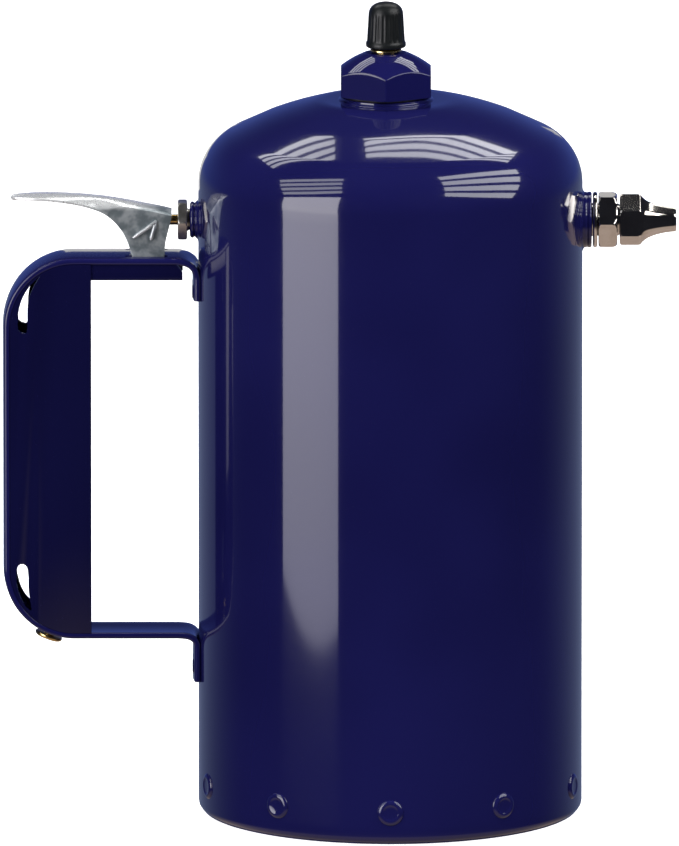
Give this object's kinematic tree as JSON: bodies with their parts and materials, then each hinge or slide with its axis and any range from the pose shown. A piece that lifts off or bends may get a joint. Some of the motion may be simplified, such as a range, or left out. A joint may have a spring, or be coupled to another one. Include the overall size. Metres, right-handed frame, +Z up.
{
  "type": "refillable compressed-air sprayer",
  "caption": "Refillable hand sprayer: a domed steel canister charged with air through a tyre valve, with a side handle, a thumb lever that pulls a valve rod, and a screw-on hexagon nozzle.",
  "frame": {"origin": "centre of the bounding box in X and Y, on the plane the base rests on", "axes": "+X from the handle towards the nozzle, +Z up along the canister"},
  "size_m": [0.1782, 0.1028, 0.2168],
  "materials": {
    "blue_enamel": "glossy dark blue enamel on steel",
    "bright_nickel": "bright nickel plate",
    "zinc_plate": "bright zinc plate on pressed steel",
    "brass": "turned brass",
    "bare_steel": "turned bare steel",
    "black_plastic": "moulded black plastic",
    "black_rubber": "black rubber",
    "white_packing": "white fluoropolymer packing"
  },
  "bodies": {
    "canister": {"tank_shell": "blue_enamel", "bottom_head": "blue_enamel", "filler_neck": "blue_enamel", "gland_boss": "blue_enamel", "gland_packing": "white_packing", "packing_nut": "bare_steel", "outlet_boss": "blue_enamel", "outlet_washer": "bright_nickel", "nozzle_adapter": "bright_nickel", "cross_tube": "brass", "dip_tube": "brass", "handle_strap": "blue_enamel", "grip_channel": "blue_enamel", "corner_rivet": "brass", "return_spring": "bare_steel"},
    "filler": {"filler_cap": "blue_enamel", "cap_gasket": "black_rubber", "tyre_valve_body": "brass", "tyre_valve_core": "brass"},
    "dust_cap": {"dust_cap": "black_plastic"},
    "valve_pin": {"tyre_valve_pin": "bare_steel"},
    "nozzle": {"spray_nozzle": "bright_nickel"},
    "lever": {"lever": "zinc_plate", "cotter_pin": "zinc_plate"},
    "rod": {"valve_rod": "brass", "valve_seal": "black_rubber"}
  },
  "joints": [
    {"name": "filler_cap_lift", "type": "slide", "parent": "canister", "child": "filler", "axis": [0, 0, 1], "range_m": [0, 0.03]},
    {"name": "dust_cap_lift", "type": "slide", "parent": "filler", "child": "dust_cap", "axis": [0, 0, 1], "range_m": [0, 0.015]},
    {"name": "valve_pin_press", "type": "slide", "parent": "filler", "child": "valve_pin", "axis": [0, 0, -1], "range_m": [0, 0.0015], "stiffness_N_per_m": 300, "springref_m": -0.001},
    {"name": "nozzle_unscrew", "type": "slide", "parent": "canister", "child": "nozzle", "axis": [1, 0, 0], "range_m": [0, 0.012]},
    {"name": "lever_press", "type": "hinge", "parent": "canister", "child": "lever", "pos_m": [-0.04995, 0, 0.1491], "axis": [0, -1, 0], "range_deg": [0, 10], "stiffness_Nm_per_rad": 0.35, "springref_deg": -11.46},
    {"name": "rod_pull", "type": "slide", "parent": "canister", "child": "rod", "axis": [-1, 0, 0], "range_m": [0, 0.0017], "deforming": ["return_spring"]}
  ],
  "couplings": [
    {"joint": "rod_pull", "follows": "lever_press", "m_per_rad": 0.0092}
  ]
}
